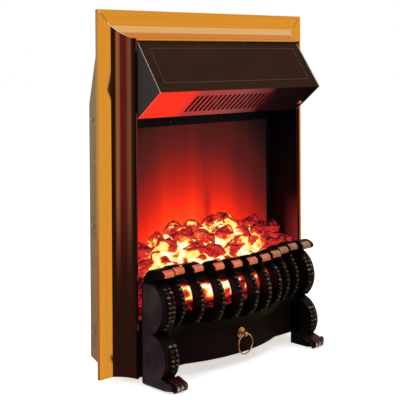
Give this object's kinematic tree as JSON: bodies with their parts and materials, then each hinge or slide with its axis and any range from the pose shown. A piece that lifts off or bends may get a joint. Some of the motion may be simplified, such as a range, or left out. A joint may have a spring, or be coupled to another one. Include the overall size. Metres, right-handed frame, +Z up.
{
  "type": "electric fireplace insert",
  "caption": "Electric fireplace insert: brass trim, steel casing, louvred heater canopy, lit flame screen and coal bed, bow-fronted barred fret on claw feet, and a ring-pull ash cover.",
  "frame": {"origin": "on the hearth, under the middle of the insert's width and depth", "axes": "+X to the viewer's right, +Y from the viewer to the wall, +Z up"},
  "size_m": [0.5, 0.2035, 0.614],
  "materials": {
    "polished_brass": "polished, lacquered",
    "zinc_steel": "zinc-coated sheet",
    "black_enamel": "satin black stove paint",
    "zinc_screws": "plated",
    "rubber": "moulded",
    "frosted_screen": "translucent, lit from behind",
    "bright_foil": "bright",
    "moulded_bed": "translucent, lit from below",
    "moulded_coal": "translucent, painted crust",
    "pilot_lens": "clear red",
    "black_iron": "black, rubbed with brass paint",
    "antique_brass": "antiqued",
    "steel_shaft": "ground",
    "bearing_bronze": "sintered",
    "black_plastic": "moulded",
    "rocker_plastic": "moulded",
    "lamp_glass": "clear",
    "porcelain": "glazed white",
    "fan_aluminium": "pressed",
    "stator_steel": "laminated",
    "copper_winding": "enamelled copper wire",
    "heater_wire": "resistance wire",
    "mica": "sheet"
  },
  "bodies": {
    "insert": {"trim_left": "polished_brass", "trim_top": "polished_brass", "trim_right": "polished_brass", "trim_corner_brackets": "zinc_steel", "casing_left_side": "zinc_steel", "casing_right_side": "zinc_steel", "casing_rear_panel": "zinc_steel", "casing_base": "zinc_steel", "casing_top": "zinc_steel", "screen_retainer": "zinc_steel", "screen_ledge": "zinc_steel", "bed_ledges": "zinc_steel", "spindle_brackets": "zinc_steel", "fan_end_plates": "zinc_steel", "fan_scroll": "zinc_steel", "left_liner": "black_enamel", "right_liner": "black_enamel", "heater_shelf": "black_enamel", "front_apron": "black_enamel", "screen_surround": "black_enamel", "canopy_hood": "black_enamel", "canopy_left_end": "black_enamel", "canopy_right_end": "black_enamel", "rear_screws": "zinc_screws", "liner_screws": "zinc_screws", "surround_screws": "zinc_screws", "rear_feet": "rubber", "flame_screen": "frosted_screen", "rear_reflector": "bright_foil", "lamp_tray": "bright_foil", "fuel_bed": "moulded_bed", "coal_lumps": "moulded_coal", "pilot_lamp": "pilot_lens", "fret_grille": "black_iron", "fret_left_cheek": "black_iron", "fret_right_cheek": "black_iron", "spindle_bushes": "bearing_bronze", "fan_bearings": "bearing_bronze", "gear_motor": "black_plastic", "switch_bodies": "black_plastic", "cable_gland": "black_plastic", "thermal_cutout": "black_plastic", "left_lamp": "lamp_glass", "right_lamp": "lamp_glass", "lamp_holders": "porcelain", "terminal_block": "porcelain", "motor_stator": "stator_steel", "motor_coil": "copper_winding", "heater_coils": "heater_wire", "heater_supports": "mica"},
    "fan": {"fan_rotor": "fan_aluminium", "fan_shaft": "steel_shaft"},
    "flicker": {"spindle_rod": "steel_shaft", "spindle_vanes": "bright_foil"},
    "flame_rocker": {"flame_rocker": "rocker_plastic"},
    "low_heat_rocker": {"low_heat_rocker": "rocker_plastic"},
    "high_heat_rocker": {"high_heat_rocker": "rocker_plastic"},
    "ash_cover": {"ash_cover": "black_iron", "pull_rose": "antique_brass"},
    "pull_ring": {"pull_ring": "antique_brass"}
  },
  "joints": [
    {"name": "fan_spin", "type": "hinge", "parent": "insert", "child": "fan", "pos_m": [0, 0.0295, 0.5], "axis": [1, 0, 0], "continuous": true},
    {"name": "flicker_spin", "type": "hinge", "parent": "insert", "child": "flicker", "pos_m": [0, 0.0695, 0.118], "axis": [1, 0, 0], "continuous": true},
    {"name": "flame_rocker_press", "type": "hinge", "parent": "insert", "child": "flame_rocker", "pos_m": [0.128, -0.04942, 0.45767], "axis": [1, 0, 0], "range_deg": [0, 18]},
    {"name": "low_heat_rocker_press", "type": "hinge", "parent": "insert", "child": "low_heat_rocker", "pos_m": [0.1475, -0.04942, 0.45767], "axis": [1, 0, 0], "range_deg": [0, 18]},
    {"name": "high_heat_rocker_press", "type": "hinge", "parent": "insert", "child": "high_heat_rocker", "pos_m": [0.167, -0.04942, 0.45767], "axis": [1, 0, 0], "range_deg": [0, 18]},
    {"name": "ash_cover_pull", "type": "slide", "parent": "insert", "child": "ash_cover", "axis": [0, -1, 0], "range_m": [0, 0.12]},
    {"name": "ring_swing", "type": "hinge", "parent": "ash_cover", "child": "pull_ring", "pos_m": [0, -0.076, 0.0574], "axis": [-1, 0, 0], "range_deg": [-12, 95]}
  ]
}
